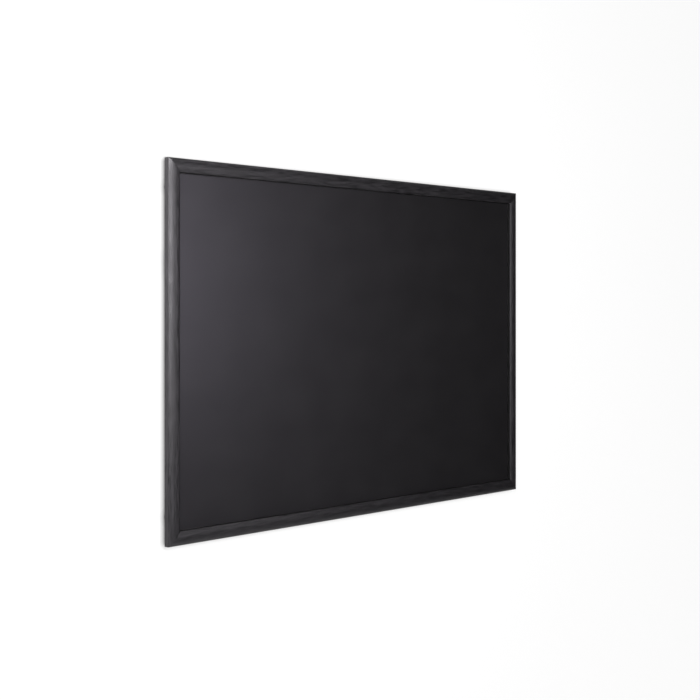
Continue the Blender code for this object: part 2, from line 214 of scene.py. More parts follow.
def makeHardboardBack():
    # Hardboard, the rough side: pressed fibre, brown, with the print of the wire screen that it was pressed on
    h = hardboardFinish
    made, tree = newMaterial("Hardboard reverse")
    place = addNode(tree, "TexCoord").outputs["Object"]
    fibrePlace = addNode(tree, "Mapping", {"Vector": place, "Scale": perMm(6, 6, 1.2)})
    fibres = addNode(tree, "TexNoise", {"Vector": fibrePlace, "Scale": 1, "Detail": 5, "Roughness": 0.65,
                                        "Distortion": 0.8})
    finePlace = addNode(tree, "Mapping", {"Vector": place, "Scale": perMm(0.6, 0.6, 0.6)})
    fine = addNode(tree, "TexNoise", {"Vector": finePlace, "Scale": 1, "Detail": 3, "Roughness": 0.6})
    # a sine wave of the screen's pitch along X, and one along Z; the Wave node has 20 bands in 2 pi
    pitch = math.pi / (10 * h["screenMm"] * mm)
    weft = addNode(tree, "TexWave", {"Vector": place, "Scale": pitch, "Distortion": 0.3, "Detail": 1.0},
                   bands_direction="X").outputs["Fac"]
    warp = addNode(tree, "TexWave", {"Vector": place, "Scale": pitch, "Distortion": 0.3, "Detail": 1.0},
                   bands_direction="Z").outputs["Fac"]
    screen = addNode(tree, "Math", {0: weft, 1: warp}, operation="MULTIPLY")
    brown = addNode(tree, "ValToRGB", {"Fac": fibres},
                    [(0.30, h["fibre"]), (0.48, h["brown"]), (0.75, h["brownLight"])])
    topShare = addNode(tree, "Math", {0: screen, 1: 0.25}, operation="MULTIPLY")
    colour = addNode(tree, "Mix", {0: topShare, 6: brown, 7: linearColour(h["screenTop"])}, data_type="RGBA")
    screenPrint = addNode(tree, "Bump", {"Height": screen, "Distance": h["screenDepth"] * mm, "Strength": 0.9})
    relief = addNode(tree, "Bump", {"Height": fine, "Distance": h["fibreDepth"] * mm, "Strength": 0.7,
                                    "Normal": screenPrint})
    shader = addNode(tree, "BsdfPrincipled", {"Base Color": colour.outputs[2], "Roughness": 0.82,
                                              "Normal": relief, "IOR": 1.5})
    addNode(tree, "OutputMaterial", {"Surface": shader})
    return made


steelFinish = {"zinc": "#a7abb0", "zincDull": "#868a90", "roughness": 0.34, "scratchDepth": 0.006,
               "cloudDepth": 0.012}


def makeZincSteel():
    # Pressed and drawn steel, bright zinc plated: grey with a cool cast, clouded, finely scratched in the drum
    s = steelFinish
    made, tree = newMaterial("Zinc plated steel")
    place = addNode(tree, "TexCoord").outputs["Object"]
    cloudPlace = addNode(tree, "Mapping", {"Vector": place, "Scale": perMm(1.6, 1.6, 1.6)})
    clouds = addNode(tree, "TexNoise", {"Vector": cloudPlace, "Scale": 1, "Detail": 3, "Roughness": 0.6})
    # drum scratches are about 0.02 mm wide; they are drawn at 0.12 mm, so that they show
    scratchPlace = addNode(tree, "Mapping", {"Vector": place, "Scale": perMm(0.12, 2.4, 2.4)})
    scratches = addNode(tree, "TexNoise", {"Vector": scratchPlace, "Scale": 1, "Detail": 3, "Roughness": 0.6})
    colour = addNode(tree, "ValToRGB", {"Fac": clouds}, [(0.3, s["zincDull"]), (0.7, s["zinc"])])
    mixed = addNode(tree, "Mix", {0: 0.5, 2: clouds, 3: scratches})
    gloss = addNode(tree, "ValToRGB", {"Fac": mixed},
                    [(0.3, s["roughness"] - 0.08), (0.7, s["roughness"] + 0.12)])
    lines = addNode(tree, "Bump", {"Height": scratches, "Distance": s["scratchDepth"] * mm, "Strength": 0.8})
    relief = addNode(tree, "Bump", {"Height": clouds, "Distance": s["cloudDepth"] * mm, "Strength": 0.6,
                                    "Normal": lines})
    shader = addNode(tree, "BsdfPrincipled", {"Base Color": colour, "Metallic": 1.0, "Roughness": gloss,
                                              "Normal": relief})
    addNode(tree, "OutputMaterial", {"Surface": shader})
    return made


rubberFinish = {"black": "#141414", "dust": "#232323", "roughness": 0.72, "grainDepth": 0.03}


def makePadRubber():
    # Moulded rubber, black: matt, finely textured by its mould, a little dusty
    r = rubberFinish
    made, tree = newMaterial("Moulded pad rubber")
    place = addNode(tree, "TexCoord").outputs["Object"]
    grainPlace = addNode(tree, "Mapping", {"Vector": place, "Scale": perMm(0.25, 0.25, 0.25)})
    grain = addNode(tree, "TexNoise", {"Vector": grainPlace, "Scale": 1, "Detail": 2, "Roughness": 0.6})
    dustPlace = addNode(tree, "Mapping", {"Vector": place, "Scale": perMm(3, 3, 3)})
    dust = addNode(tree, "TexNoise", {"Vector": dustPlace, "Scale": 1, "Detail": 4, "Roughness": 0.6})
    colour = addNode(tree, "ValToRGB", {"Fac": dust}, [(0.4, r["black"]), (0.75, r["dust"])])
    gloss = addNode(tree, "ValToRGB", {"Fac": dust},
                    [(0.3, r["roughness"] - 0.05), (0.7, r["roughness"] + 0.1)])
    relief = addNode(tree, "Bump", {"Height": grain, "Distance": r["grainDepth"] * mm, "Strength": 0.8})
    shader = addNode(tree, "BsdfPrincipled", {"Base Color": colour, "Roughness": gloss, "Normal": relief,
                                              "IOR": 1.52})
    addNode(tree, "OutputMaterial", {"Surface": shader})
    return made


stainedPine = makeStainedPine()
quirkPaintedShade = makeQuirkPaintedShade()
chalkLacquer = makeChalkLacquer()
hardboardBack = makeHardboardBack()
zincSteel = makeZincSteel()
padRubber = makePadRubber()
print("materials made")


# shapes that several pieces use

def roundedOutline(corners, stepDegrees=6.0):
    # corners are (x, y, radius); each becomes an arc that its two sides have room for
    points = []
    for i, (x, y, radius) in enumerate(corners):
        corner = Vector((x, y))
        before = Vector(corners[i - 1][:2]) - corner
        after = Vector(corners[(i + 1) % len(corners)][:2]) - corner
        turn = math.pi - before.angle(after)
        reach = min(radius * math.tan(turn / 2), 0.45 * min(before.length, after.length))
        if reach < 1e-7:
            points.append(corner)
            continue
        radius = reach / math.tan(turn / 2)
        centre = corner + (before.normalized() + after.normalized()).normalized() * radius / math.cos(turn / 2)
        start = corner + before.normalized() * reach - centre
        side = 1 if before.cross(after) < 0 else -1
        steps = max(2, math.ceil(math.degrees(turn) / stepDegrees))
        points += [centre + Matrix.Rotation(side * turn * k / steps, 2) @ start for k in range(steps + 1)]
    return points


def shadeByAngle(mesh, smoothAngle):
    mesh.shade_smooth()
    mesh.set_sharp_from_angle(angle=math.radians(smoothAngle))


def meshFromWork(name, work, smoothAngle=35):
    mesh = bpy.data.meshes.new(name)
    bmesh.ops.recalc_face_normals(work, faces=work.faces)
    work.to_mesh(mesh)
    work.free()
    shadeByAngle(mesh, smoothAngle)
    return mesh


def addPiece(name, mesh, materials, place=None):
    made = bpy.data.objects.new(name, mesh)
    bpy.context.scene.collection.objects.link(made)
    for material in materials:
        mesh.materials.append(material)
    if place is not None:
        made.matrix_world = place
    return made


def settle(piece, smoothAngle=35):
    # the piece's modifiers become its mesh, which is then shaded
    graph = bpy.context.evaluated_depsgraph_get()
    mesh = bpy.data.meshes.new_from_object(piece.evaluated_get(graph))
    piece.modifiers.clear()
    piece.data = mesh
    shadeByAngle(mesh, smoothAngle)


def bevelEdges(piece, width, segments=2, angle=35):
    made = piece.modifiers.new("edges", "BEVEL")
    made.width = width
    made.segments = segments
    made.limit_method = "ANGLE"
    made.angle_limit = math.radians(angle)


def prismWork(outline, bottom, top):
    # outline in X and Z, faces at two depths along Y
    work = bmesh.new()
    rings = [[work.verts.new((p[0], y, p[1])) for p in outline] for y in (bottom, top)]
    for ring in rings:
        work.faces.new(ring)
    for i in range(len(outline)):
        j = (i + 1) % len(outline)
        work.faces.new((rings[0][i], rings[0][j], rings[1][j], rings[1][i]))
    return work


def turnedWork(profile, steps=64):
    # profile of (radius, y) from one end of the axis to the other, turned about Y
    work = bmesh.new()
    rows = []
    for radius, y in profile:
        if radius < 1e-7:
            rows.append([work.verts.new((0, y, 0))])
        else:
            angles = [2 * math.pi * k / steps for k in range(steps)]
            rows.append([work.verts.new((radius * math.cos(a), y, radius * math.sin(a))) for a in angles])
    for low, high in zip(rows, rows[1:]):
        for k in range(steps):
            j = (k + 1) % steps
            corners = [low[k % len(low)], low[j % len(low)], high[j % len(high)], high[k % len(high)]]
            unique = list(dict.fromkeys(corners))
            if len(unique) > 2:
                work.faces.new(unique)
    return work


def finishPiece(piece, body, node):
    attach(piece, body)
    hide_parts(node)


def nodeCentre(node):
    low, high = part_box(node)
    return (low + high) / 2


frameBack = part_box("left_stile")[1].y
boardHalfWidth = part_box("right_stile")[1].x
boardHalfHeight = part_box("top_rail")[1].z


# the four mouldings

mouldingShape = {
    # all in mm; insets are from the outer side, heights from the back
    "side": 9.1, "shoulderInset": 22.0, "shoulderHeight": 11.0, "crownRise": 4.0, "quirkFloor": 5.9,
    "wallFoot": 22.1, "beadInset": 22.8, "sight": 23.5, "beadHeight": 0.9, "rebate": 5.0, "rebateInset": 17.5,
    "arrisRound": 0.7, "shoulderRound": 1.0, "beadRound": 0.3, "backRound": 0.4, "quirkRound": 0.12,
    "mitreGap": 0.10, "mitreEase": 0.12, "waver": 0.03, "waverLength": 45, "waverWidth": 9,
    "rowPitch": 5.0, "facet": 1.6,
    # how far the painted shade in the quirk, the rubbing of an edge and the thin stain of the back reach
    "shadeDepth": 3.2, "shadeBeadMargin": 0.28, "wearReach": 1.1, "backReach": 0.5,
}


def mouldingOutline():
    # (inset, height) in mm, round the whole section
    m = mouldingShape
    start, end = Vector((0, m["side"])), Vector((m["shoulderInset"], m["shoulderHeight"]))
    chord = end - start
    radius = (chord.length ** 2 / 4 + m["crownRise"] ** 2) / (2 * m["crownRise"])
    upward = Vector((-chord.y, chord.x)).normalized()
    centre = (start + end) / 2 + upward * (m["crownRise"] - radius)
    sweep = 2 * math.asin(chord.length / 2 / radius)
    # the crown's arc stops short of the shoulder, so that the shoulder's rounding has room
    steps = 36
    crown = [centre + Matrix.Rotation(-sweep * k / steps, 2) @ (start - centre) for k in range(1, steps - 2)]
    corners = [(0, 0, m["backRound"]), (0, m["side"], m["arrisRound"])]
    corners += [(p.x, p.y, 0) for p in crown]
    corners += [
        (m["shoulderInset"], m["shoulderHeight"], m["shoulderRound"]),
        (m["wallFoot"], m["quirkFloor"], m["quirkRound"]), (m["beadInset"], m["quirkFloor"], m["quirkRound"]),
        (m["beadInset"], m["quirkFloor"] + m["beadHeight"], m["beadRound"]),
        (m["sight"], m["quirkFloor"] + m["beadHeight"], m["beadRound"]),
        (m["sight"], m["rebate"], 0.1), (m["rebateInset"], m["rebate"], 0), (m["rebateInset"], 0, 0.1),
    ]
    line = roundedOutline(corners, 9.0)
    full = []
    for first, second in zip(line, line[1:] + line[:1]):
        parts = max(1, math.ceil((second - first).length / m["facet"]))
        full += [first.lerp(second, k / parts) for k in range(parts)]
    return full


def edgeWearAt(point):
    # the rounded arris, shoulder and bead are rubbed most
    m = mouldingShape
    edges = [(0.3, m["side"] + 0.1), (m["shoulderInset"] - 0.6, m["shoulderHeight"] + 0.4),
             (m["sight"] - 0.3, m["quirkFloor"] + m["beadHeight"])]
    nearest = min((point - Vector(e)).length for e in edges)
    return max(0.0, 1.0 - nearest / m["wearReach"])


def bareWoodAt(point):
    # the back and the rebate carry thin stain and no lacquer
    m = mouldingShape
    onBack = max(0.0, 1.0 - point.y / m["backReach"])
    inRebate = 1.0 if point.x > m["rebateInset"] - 0.01 and point.y <= m["rebate"] + 0.01 else 0.0
    return max(onBack, inRebate)


def inQuirk(point):
    # the quirk, the lower part of the wall above it and the bead's side beside the panel: the faces that get
    # the painted shade
    m = mouldingShape
    onBead = point.x > m["beadInset"] + 0.1 and point.y > m["quirkFloor"] + m["beadHeight"] - m["shadeBeadMargin"]
    low = m["rebate"] + 0.05 < point.y < m["quirkFloor"] + m["shadeDepth"]
    return low and not onBead and point.x > m["shoulderInset"] - 0.3


def buildMoulding(node, turn, length, reach, seed):
    # swept along X as the top rail lies, then turned to its side of the board
    m = mouldingShape
    outline = mouldingOutline()
    normals = []
    for k, point in enumerate(outline):
        along = outline[(k + 1) % len(outline)] - outline[k - 1]
        normals.append(Vector((-along.y, along.x)).normalized())
    # rows that round the mitre's edge: how far back from the end, and how much the section is drawn in
    ease = m["mitreEase"]
    lastRow = 3 * ease
    rows = [(0.0, ease), (0.35 * ease, 0.35 * ease), (ease, 0.0), (lastRow, 0.0)]
    inner = math.ceil(length / mm / m["rowPitch"])
    work = bmesh.new()
    wearLayer = work.verts.layers.float.new("edgeWear")
    bareLayer = work.verts.layers.float.new("bareWood")
    plankLayer = work.verts.layers.float.new("plank")  # sets each plank's own run of the grain
    rings = []
    # from one mitre to the other; between the two ends' rows the section is never drawn in
    stations = [(-1, back, draw) for back, draw in rows]
    stations += [(k / inner * 2 - 1, None, 0.0) for k in range(1, inner)]
    stations += [(1, back, draw) for back, draw in reversed(rows)]
    for share, back, draw in stations:
        ring = []
        for point, normal in zip(outline, normals):
            half = length / 2 / mm - point.x - m["mitreGap"] * math.sqrt(0.5)
            x = share * (half - lastRow) if back is None else share * (half - back)
            spot = (x / m["waverLength"], point.x / m["waverWidth"] + seed * 7.3, point.y / m["waverWidth"])
            waver = noise.noise(Vector(spot)) * m["waver"]
            moved = point + normal * (waver * (0 if draw else 1) - draw)
            vert = work.verts.new((x * mm, -moved.y * mm, -moved.x * mm))
            vert[wearLayer] = edgeWearAt(point)
            vert[bareLayer] = bareWoodAt(point)
            vert[plankLayer] = seed * 3.7
            ring.append(vert)
        rings.append(ring)
    for low, high in zip(rings, rings[1:]):
        for k in range(len(outline)):
            j = (k + 1) % len(outline)
            face = work.faces.new((low[k], low[j], high[j], high[k]))
            # faces in the quirk get the material of painted shade
            face.material_index = 1 if inQuirk(outline[k]) and inQuirk(outline[j]) else 0
    work.faces.new(rings[0])
    work.faces.new(rings[-1])
    turned = Matrix.Translation((0, frameBack, 0)) @ Matrix.Rotation(turn, 4, "Y")
    piece = addPiece("wood_" + node, meshFromWork("wood_" + node, work, 40), [stainedPine, quirkPaintedShade],
                     turned @ Matrix.Translation((0, 0, reach)))
    finishPiece(piece, "frame", node)


quarter = math.pi / 2
buildMoulding("top_rail", 0.0, 2 * boardHalfWidth, boardHalfHeight, 1)
buildMoulding("right_stile", quarter, 2 * boardHalfHeight, boardHalfWidth, 2)
buildMoulding("bottom_rail", 2 * quarter, 2 * boardHalfWidth, boardHalfHeight, 3)
buildMoulding("left_stile", -quarter, 2 * boardHalfHeight, boardHalfWidth, 4)
print("mouldings built")


# the writing panel: lacquered front and edges, brown reverse

# mm, and how many turns of its waver the panel has in a metre
panelShape = {"edgeRound": 0.35, "waver": 0.02, "pitch": 25.0, "waverTurns": 7}


def stepOut(value, half, edge):
    # a rim point moves out to its side of the panel; along the side it stays where it is
    onSide = abs(abs(value) - half + edge) < 1e-6
    return value + math.copysign(edge, value) * onSide


def buildPanel():
    p = panelShape
    low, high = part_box("writing_panel")
    middle = (low + high) / 2
    size = high - low
    turns = p["waverTurns"]
    work = bmesh.new()
    columns = math.ceil(size.x / (p["pitch"] * mm))
    lines = math.ceil(size.z / (p["pitch"] * mm))
    edge = p["edgeRound"] * mm
    # a grid for the front and one for the back, which stop where the edge's rounding starts
    grids = {}
    for side, y in (("front", low.y - middle.y), ("back", high.y - middle.y)):
        grid = []
        for i in range(columns + 1):
            column = []
            for j in range(lines + 1):
                x = (i / columns - 0.5) * (size.x - 2 * edge)
                z = (j / lines - 0.5) * (size.z - 2 * edge)
                rim = i in (0, columns) or j in (0, lines)
                waver = 0 if rim else noise.noise(Vector((x * turns, 3.1, z * turns))) * p["waver"] * mm
                column.append(work.verts.new((x, y + waver, z)))
            grid.append(column)
        grids[side] = grid
        for i in range(columns):
            for j in range(lines):
                face = work.faces.new((grid[i][j], grid[i + 1][j], grid[i + 1][j + 1], grid[i][j + 1]))
                face.material_index = 0 if side == "front" else 1
    rims = {}
    for side, grid in grids.items():
        rim = [grid[i][0] for i in range(columns)] + [grid[columns][j] for j in range(lines)]
        rim += [grid[i][lines] for i in range(columns, 0, -1)] + [grid[0][j] for j in range(lines, 0, -1)]
        rims[side] = rim
    stepped = [rims["front"]]
    for y in (low.y + edge, high.y - edge):
        ring = []
        for vert in rims["front"]:
            x, z = stepOut(vert.co.x, size.x / 2, edge), stepOut(vert.co.z, size.z / 2, edge)
            ring.append(work.verts.new((x, y - middle.y, z)))
        stepped.append(ring)
    stepped.append(rims["back"])
    for first, second in zip(stepped, stepped[1:]):
        for k in range(len(first)):
            j = (k + 1) % len(first)
            work.faces.new((first[k], first[j], second[j], second[k]))
    mesh = meshFromWork("chalk_panel", work, 30)
    piece = addPiece("chalk_panel", mesh, [chalkLacquer, hardboardBack], Matrix.Translation(middle))
    finishPiece(piece, "frame", "writing_panel")


buildPanel()
print("panel built")


# corner nails and framer's points

nailShape = {"leg": 4.2, "thickness": 0.5, "halfAngle": 55.0, "height": 7.0, "foldRound": 0.5, "endRound": 0.05,
             "edge": 0.06}


def buildCornerNail(node, turn):
    n = nailShape
    half = n["thickness"] / 2
    bend = math.radians(n["halfAngle"])
    along = Vector((math.sin(bend), -math.cos(bend)))
    across = Vector((along.y, -along.x))
    outer, inner = along * n["leg"] - across * half, along * n["leg"] + across * half
    apex = half / math.sin(bend)
    end = n["endRound"]
    corners = [(0, -apex, n["foldRound"] - half), (inner.x, inner.y, end), (outer.x, outer.y, end),
               (0, apex, n["foldRound"] + half), (-outer.x, outer.y, end), (-inner.x, inner.y, end)]
    outline = [p * mm for p in roundedOutline(corners, 12)]
    # the outline's own middle goes to the middle of the CAD nail
    low = min(p.y for p in outline)
    high = max(p.y for p in outline)
    outline = [(p.x, p.y - (low + high) / 2) for p in outline]
    work = prismWork(outline, -n["height"] / 2 * mm, n["height"] / 2 * mm)
    piece = addPiece("steel_" + node, meshFromWork("steel_" + node, work), [zincSteel],
                     Matrix.Translation(nodeCentre(node)) @ Matrix.Rotation(turn, 4, "Y"))
    bevelEdges(piece, n["edge"] * mm, 1)
    settle(piece)
    finishPiece(piece, "frame", node)


for corner, turn in (("top_right", 45), ("bottom_right", 135), ("bottom_left", 225), ("top_left", 315)):
    for k in (1, 2):
        buildCornerNail(f"corner_nail_{corner}_{k}", math.radians(turn))

pointShape = {"width": 9.0, "length": 15.0, "tip": 4.0, "thickness": 0.5, "tailRound": 1.4, "sideRound": 0.4,
              "tipRound": 0.15, "edge": 0.08,
              "ribLength": 7.0, "ribWidth": 1.6, "ribHeight": 0.28, "ribSink": 0.02, "ribShift": 0.6}


def buildFramersPoint(node, turn):
    p = pointShape
    half, tail, tip = p["width"] / 2, -p["length"] / 2, p["length"] / 2
    corners = [(-half, tail, p["tailRound"]), (half, tail, p["tailRound"]),
               (half, tip - p["tip"], p["sideRound"]), (0, tip, p["tipRound"]),
               (-half, tip - p["tip"], p["sideRound"])]
    outline = [q * mm for q in roundedOutline(corners, 12)]
    work = prismWork([(q.x, q.y) for q in outline], -p["thickness"] / 2 * mm, p["thickness"] / 2 * mm)
    piece = addPiece("steel_" + node, meshFromWork("steel_" + node, work), [zincSteel],
                     Matrix.Translation(nodeCentre(node)) @ Matrix.Rotation(turn, 4, "Y"))
    bevelEdges(piece, p["edge"] * mm, 2)
    settle(piece)
    # a pressed rib along the middle of the tail
    rib = bmesh.new()
    bmesh.ops.create_uvsphere(rib, u_segments=24, v_segments=12, radius=1)
    size = Vector((p["ribWidth"] / 2, p["ribHeight"], p["ribLength"] / 2)) * mm
    bmesh.ops.scale(rib, vec=size, verts=rib.verts)
    spot = Vector((0, p["thickness"] / 2 - p["ribSink"], tail / 2 + p["ribShift"])) * mm
    bmesh.ops.translate(rib, vec=spot, verts=rib.verts)
    rib.from_mesh(piece.data)
    for face in rib.faces:
        face.smooth = True
    rib.to_mesh(piece.data)
    rib.free()
    finishPiece(piece, "frame", node)


for side, count, turn in (("top", 4, 0), ("right", 3, 90), ("bottom", 4, 180), ("left", 3, 270)):
    for k in range(count):
        buildFramersPoint(f"framers_point_{side}_{k + 1}", math.radians(turn))
print("nails and points built")


# hangers: strap, ring and screws

# mm and degrees; head, shank, wire and barrel are radii, and the rows and steps are counts
strapShape = {"width": 9.0, "length": 34.0, "thickness": 0.7, "barrel": 1.55, "curl": 285.0, "edge": 0.14,
              "endRows": 12, "flatRows": 10, "curlRows": 30, "tipHalfWidth": 0.25}
ringShape = {"wire": 0.9, "half": 6.4, "leg": 4.5, "cornerRound": 1.6, "arcSteps": 40, "bevelSteps": 6}
screwShape = {"head": 2.7, "headHeight": 1.5, "rimShare": 0.42, "rimEdge": 0.12, "shank": 1.3, "neck": 0.3,
              "length": 9.0, "point": 2.5, "domeSteps": 12, "slotReach": 1.55, "slotWidth": 0.62,
              "slotDepth": 1.0, "slotTaper": 0.42, "slotFlare": 1.3, "cutterRise": 0.6}


def hingePlace(side):
    # the joint's own place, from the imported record
    joint = [j for j in frame["joints"] if j["name"] == side + "_ring_swing"][0]
    return Vector(joint["pos_m"])


def buildStrap(side):
    s = strapShape
    axis = hingePlace(side)
    rise = axis.y - frameBack
    radius, width = s["barrel"] * mm, s["width"] * mm
    # rows across the strap, from its round lower end to the end of the curl: height from the ring's axis,
    # distance from the stile's back, and half width; they lie closer together round the lower end
    line = []
    endRows, flatRows, curlRows = s["endRows"], s["flatRows"], s["curlRows"]
    for k in range(endRows + 1):
        share = 1 - math.cos(k / endRows * math.pi / 2)
        reach = share * width / 2
        halfWidth = math.sqrt(max(0.0, (width / 2) ** 2 - (width / 2 - reach) ** 2))
        line.append((-s["length"] * mm + reach, rise - radius, max(halfWidth, s["tipHalfWidth"] * mm)))
    for k in range(1, flatRows):
        share = k / flatRows
        height = -s["length"] * mm * (1 - share) - (width / 2) * (-1 + share)
        line.append((height, rise - radius, width / 2))
    for k in range(curlRows + 1):
        a = -quarter + math.radians(s["curl"]) * k / curlRows
        line.append((radius * math.cos(a), rise + radius * math.sin(a), width / 2))
    work = bmesh.new()
    rows = []
    for z, y, halfWidth in line:
        rows.append([work.verts.new((halfWidth * share, y - rise, z)) for share in (-1, -0.5, 0, 0.5, 1)])
    for low, high in zip(rows, rows[1:]):
        for k in range(4):
            work.faces.new((low[k], low[k + 1], high[k + 1], high[k]))
    name = f"steel_{side}_strap"
    piece = addPiece(name, meshFromWork(name, work), [zincSteel], Matrix.Translation(axis))
    thick = piece.modifiers.new("sheet", "SOLIDIFY")
    thick.thickness = s["thickness"] * mm
    thick.offset = 0
    thick.use_even_offset = True
    bevelEdges(piece, s["edge"] * mm, 3, 50)
    settle(piece)
    finishPiece(piece, "frame", f"{side}_hanger_strap")


def buildRing(side):
    r = ringShape
    half, leg = r["half"], r["leg"]
    line = roundedOutline([(-half, -leg, 0), (-half, 0, r["cornerRound"]), (half, 0, r["cornerRound"]),
                           (half, -leg, 0)], 7)
    line += [Vector((half * math.cos(a), -leg + half * math.sin(a)))
             for a in (-math.pi * k / r["arcSteps"] for k in range(1, r["arcSteps"]))]
    curve = bpy.data.curves.new("ringLine", "CURVE")
    curve.dimensions = "3D"
    spline = curve.splines.new("POLY")
    spline.points.add(len(line) - 1)
    for spot, point in zip(spline.points, line):
        spot.co = (point.x * mm, 0, point.y * mm, 1)
    spline.use_cyclic_u = True
    curve.bevel_depth = r["wire"] * mm
    curve.bevel_resolution = r["bevelSteps"]
    helper = bpy.data.objects.new("ringLine", curve)
    bpy.context.scene.collection.objects.link(helper)
    graph = bpy.context.evaluated_depsgraph_get()
    mesh = bpy.data.meshes.new_from_object(helper.evaluated_get(graph))
    bpy.data.objects.remove(helper)
    mesh.shade_smooth()
    mesh.materials.clear()
    piece = addPiece(f"steel_{side}_ring", mesh, [zincSteel], Matrix.Translation(hingePlace(side)))
    finishPiece(piece, f"{side}_ring", f"{side}_hanger_ring")


def buildScrew(node):
    s = screwShape
    low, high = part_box(node)
    middle = (low + high) / 2
    seat = high.y - s["headHeight"] * mm
    # a domed head over a short rim, then the shank and its point
    profile = []
    rim, edge, neck = s["rimShare"], s["rimEdge"], s["neck"]
    for k in range(s["domeSteps"] + 1):
        a = math.pi / 2 * k / s["domeSteps"]
        profile.append((s["head"] * math.sin(a) ** 0.8, s["headHeight"] * (rim + (1 - rim) * math.cos(a))))
    profile += [(s["head"], edge), (s["head"] - edge, 0), (s["shank"] + neck, 0), (s["shank"], -neck),
                (s["shank"], s["point"] - s["length"]), (0, -s["length"])]
    work = turnedWork([(r * mm, y * mm) for r, y in profile], 48)
    name = "steel_" + node
    piece = addPiece(name, meshFromWork(name, work), [zincSteel],
                     Matrix.Translation((middle.x, seat, middle.z)))
    # the cross recess narrows towards its floor
    reach, half = s["slotReach"], s["slotWidth"] / 2
    corner = [(half, half), (half, reach), (-half, reach)]
    cross = [Matrix.Rotation(quarter * k, 2) @ Vector(c) for k in range(4) for c in corner]
    cutter = bmesh.new()
    top, floor = [
        [cutter.verts.new((c.x * widen * mm, y * mm, c.y * widen * mm)) for c in cross]
        for widen, y in ((s["slotFlare"], s["headHeight"] + s["cutterRise"]),
                         (s["slotTaper"], s["headHeight"] - s["slotDepth"]))]
    cutter.faces.new(top)
    cutter.faces.new(floor)
    for k in range(len(cross)):
        j = (k + 1) % len(cross)
        cutter.faces.new((top[k], top[j], floor[j], floor[k]))
    tool = addPiece("crossRecess", meshFromWork("crossRecess", cutter), [zincSteel], piece.matrix_world.copy())
    cut = piece.modifiers.new("recess", "BOOLEAN")
    cut.object = tool
    cut.solver = "EXACT"
    bpy.context.view_layer.update()
    settle(piece, 30)
    bpy.data.objects.remove(tool)
    finishPiece(piece, "frame", node)


for side in ("left", "right"):
    buildStrap(side)
    buildRing(side)
    for k in (1, 2):
        buildScrew(f"{side}_hanger_screw_{k}")
print("hangers built")


# wall pads

# mm, apart from the dish's floor and rim, which are shares of the pad's radius
padShape = {"round": 1.0, "dish": 0.12, "dishFloor": 0.45, "dishRim": 0.62, "flash": 0.05, "flashLow": 0.3,
            "flashHigh": 0.35, "footEdge": (0.05, 0.1)}


def buildPad(node):
    p = padShape
    low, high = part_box(node)
    middle = (low + high) / 2
    radius, depth = (high.x - low.x) / 2 / mm, (high.y - low.y) / mm
    # from the middle of the face on the wall, round the edge and the flash line, to the face on the stile
    profile = [(0, depth - p["dish"]), (radius * p["dishFloor"], depth - p["dish"])]
    profile.append((radius * p["dishRim"], depth))
    profile += [(radius - p["round"] * (1 - math.cos(a)), depth - p["round"] * (1 - math.sin(a)))
                for a in (quarter * (1 - k / 8) for k in range(9))]
    rise, inset = p["footEdge"]
    profile += [(radius, p["flashHigh"]), (radius - p["flash"], p["flashLow"]), (radius - p["flash"], rise),
                (radius - inset, 0), (0, 0)]
    work = turnedWork([(r * mm, y * mm) for r, y in profile], 64)
    name = "rubber_" + node
    piece = addPiece(name, meshFromWork(name, work, 50), [padRubber],
                     Matrix.Translation((middle.x, low.y, middle.z)))
    finishPiece(piece, "frame", node)


for level in ("upper", "lower"):
    for side in ("left", "right"):
        buildPad(f"wall_pad_{level}_{side}")
print("pads built")


# stage: a white wall just behind the pads, and a pale floor

stageLook = {
    "white": "#f2f2f2", "seenWhite": "#606060", "lift": 0.93, "wallMirror": 1.0, "floorMirror": 0.3,
    # in mm: the contact shadow, the gap behind the pads, and how far inside the board its wall patch starts
    "shadowReach": 10.0, "wallGap": 0.5, "openingInset": 6.0,
    # in metres from the board's middle
    "wallReach": 6.0, "floorDrop": 1.4, "floorReach": 1.6,
}


def makeStageWhite(name, mirrorShare, cameraOnly=False):
    # Matt white emulsion paint. Camera and mirrored rays see it near white wherever the lamps reach or not,
    # with the narrow contact shadow of what hangs on it; from its back it is clear, to show the board's reverse
    k = stageLook
    made, tree = newMaterial(name)
    paint = addNode(tree, "BsdfDiffuse", {"Color": linearColour(k["white"])})
    contact = addNode(tree, "AmbientOcclusion", {"Distance": k["shadowReach"] * mm}, samples=16).outputs["AO"]
    toned = addNode(tree, "Mix", {0: contact, 6: (0, 0, 0, 1), 7: linearColour(k["seenWhite"])},
                    data_type="RGBA")
    seenPaint = addNode(tree, "BsdfDiffuse", {"Color": toned.outputs[2]})
    strength = addNode(tree, "Math", {0: contact, 1: k["lift"]}, operation="MULTIPLY")
    glow = addNode(tree, "Emission", {"Color": (1, 1, 1, 1), "Strength": strength})
    lifted = addNode(tree, "AddShader", {0: seenPaint, 1: glow})
    path = addNode(tree, "LightPath")
    mirrored = addNode(tree, "Math", {0: path.outputs["Is Glossy Ray"], 1: path.outputs["Is Transmission Ray"]},
                       operation="MAXIMUM")
    share = addNode(tree, "Math", {0: mirrored, 1: mirrorShare}, operation="MULTIPLY")
    seen = addNode(tree, "Math", {0: path.outputs["Is Camera Ray"], 1: share}, operation="MAXIMUM")
    front = addNode(tree, "MixShader", {0: seen, 1: paint, 2: lifted})
    clear = addNode(tree, "BsdfTransparent")
    back = addNode(tree, "NewGeometry").outputs["Backfacing"]
    if cameraOnly:
        unseen = addNode(tree, "Math", {0: 1.0, 1: path.outputs["Is Camera Ray"]}, operation="SUBTRACT")
        back = addNode(tree, "Math", {0: back, 1: unseen}, operation="MAXIMUM")
    both = addNode(tree, "MixShader", {0: back, 1: front, 2: clear})
    addNode(tree, "OutputMaterial", {"Surface": both})
    return made


def addStageMesh(name, corners, faces, material):
    mesh = bpy.data.meshes.new(name)
    mesh.from_pydata(corners, [], faces)
    made = addPiece(name, mesh, [material])
    return made


